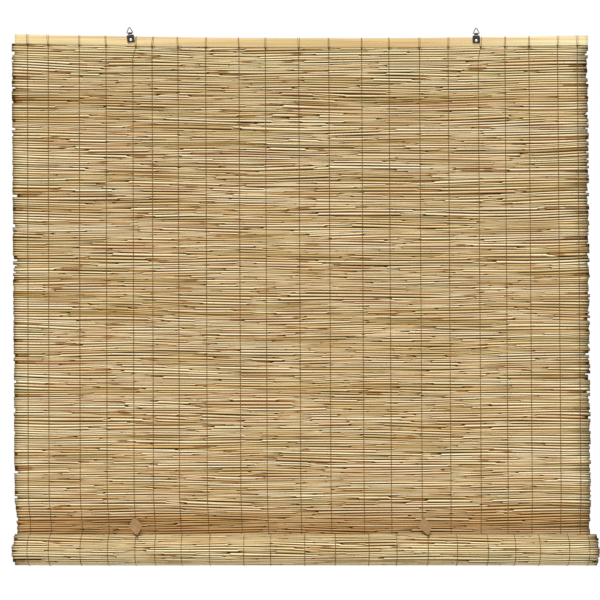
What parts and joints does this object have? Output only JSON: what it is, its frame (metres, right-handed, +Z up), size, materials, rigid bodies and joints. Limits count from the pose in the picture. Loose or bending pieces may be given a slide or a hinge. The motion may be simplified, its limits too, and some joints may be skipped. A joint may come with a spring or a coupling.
{
  "type": "reed roll up blind",
  "caption": "Wide woven reed blind hanging from two wire rings on a flat head rail, its foot rolled forward into a thick roll held by leaf-shaped tabs.",
  "frame": {"origin": "middle of the head rail's back face, where the rail's sagging middle line is lowest between its ends", "axes": "+X to the right along the head rail as seen from the front, +Y away from the viewer towards the window or wall, +Z up"},
  "size_m": [1.2406, 0.0735, 1.1433],
  "materials": {
    "slat": "planed pale wood, no lacquer",
    "reed": "dry peeled reed, satin",
    "twine": "thin dark twine",
    "strap": "dark gunmetal plate",
    "wire": "drawn steel wire",
    "screw": "bright plated",
    "tab": "flat tan leather"
  },
  "bodies": {
    "blind": {"head_rail": "slat", "reed_mat": "reed", "reed_roll": "reed", "bottom_batten": "slat", "warp_string_01": "twine", "warp_string_02": "twine", "warp_string_03": "twine", "warp_string_04": "twine", "warp_string_05": "twine", "warp_string_06": "twine", "warp_string_07": "twine", "warp_string_08": "twine", "warp_string_09": "twine", "warp_string_10": "twine", "warp_string_11": "twine", "warp_string_12": "twine", "warp_string_13": "twine", "warp_string_14": "twine", "warp_string_15": "twine", "warp_string_16": "twine", "warp_string_17": "twine", "warp_string_18": "twine", "warp_string_19": "twine", "warp_string_20": "twine", "warp_string_21": "twine", "hanger_strap_left": "strap", "hanger_screw_left": "screw", "roll_tab_left": "tab", "tab_top_cord_left": "twine", "tab_low_cord_left": "twine", "hanger_strap_right": "strap", "hanger_screw_right": "screw", "roll_tab_right": "tab", "tab_top_cord_right": "twine", "tab_low_cord_right": "twine"},
    "left_ring": {"hanger_ring_left": "wire"},
    "right_ring": {"hanger_ring_right": "wire"}
  },
  "joints": [
    {"name": "left_ring_swing", "type": "hinge", "parent": "blind", "child": "left_ring", "pos_m": [-0.36446, -0.00935, 0.0207], "axis": [0.9903, 0, 0.1392], "range_deg": [-118, 145]},
    {"name": "right_ring_swing", "type": "hinge", "parent": "blind", "child": "right_ring", "pos_m": [0.37191, -0.00935, 0.01929], "axis": [1, 0, 0.0087], "range_deg": [-118, 145]}
  ]
}
